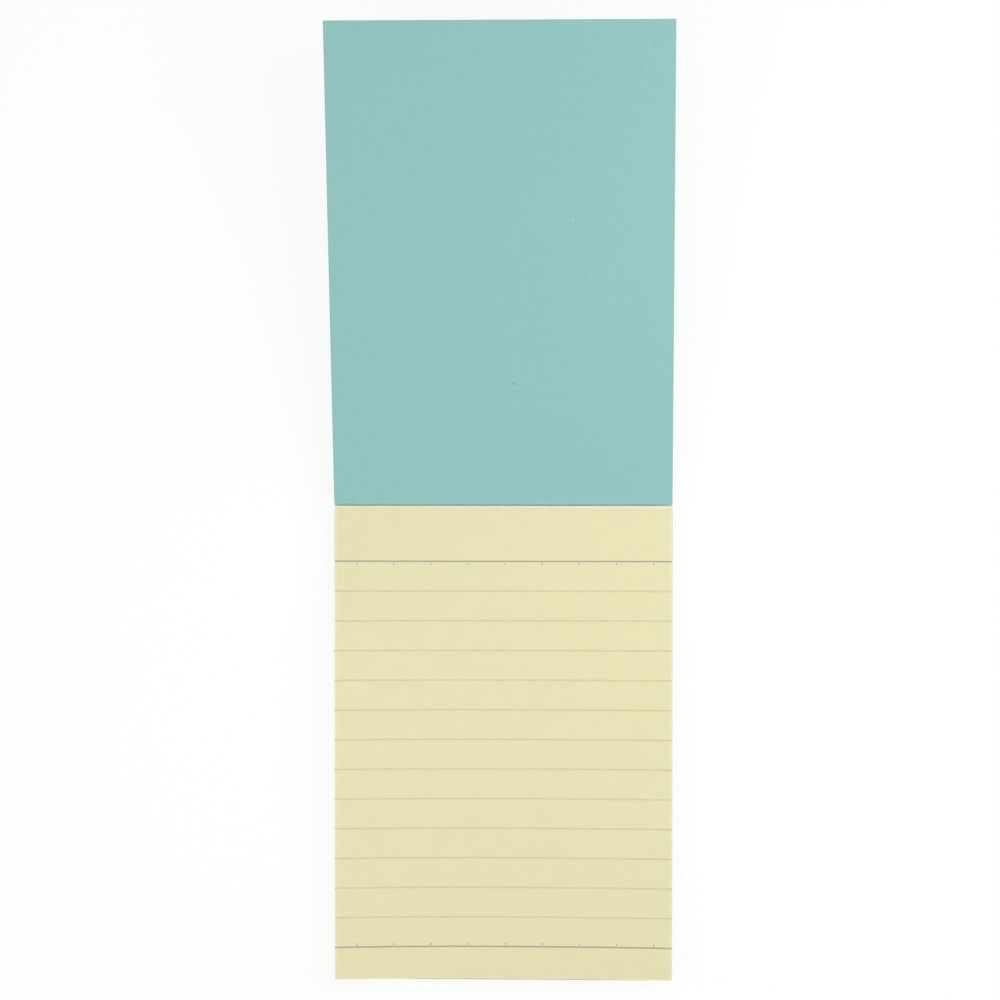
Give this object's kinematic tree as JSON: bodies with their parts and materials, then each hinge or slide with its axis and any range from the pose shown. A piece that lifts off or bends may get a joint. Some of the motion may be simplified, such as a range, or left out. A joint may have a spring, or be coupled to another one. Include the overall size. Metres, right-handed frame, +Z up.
{
  "type": "notebook",
  "caption": "Top-bound pocket memo pad with ruled cream leaves and a turquoise card cover standing open.",
  "frame": {"origin": "centre of the back cover's underside, on the surface that the pad lies on", "axes": "+X to the reader's right, +Y up the page towards the bound edge and the open cover, +Z up out of the page"},
  "size_m": [0.0912, 0.2538, 0.0385],
  "materials": {
    "leaf_paper": "matte",
    "border_ink": "matte",
    "line_ink": "matte",
    "padding_glue": "satin",
    "cover_card": "matte"
  },
  "bodies": {
    "pad": {"page_block": "leaf_paper", "border_print": "border_ink", "line_print": "line_ink", "binding_glue": "padding_glue", "back_cover": "cover_card"},
    "cover": {"front_cover": "cover_card"}
  },
  "joints": [
    {"name": "cover_hinge", "type": "hinge", "parent": "pad", "child": "cover", "pos_m": [0, 0.06445, 0.00695], "axis": [-1, 0, 0], "range_deg": [-166, 100]}
  ]
}
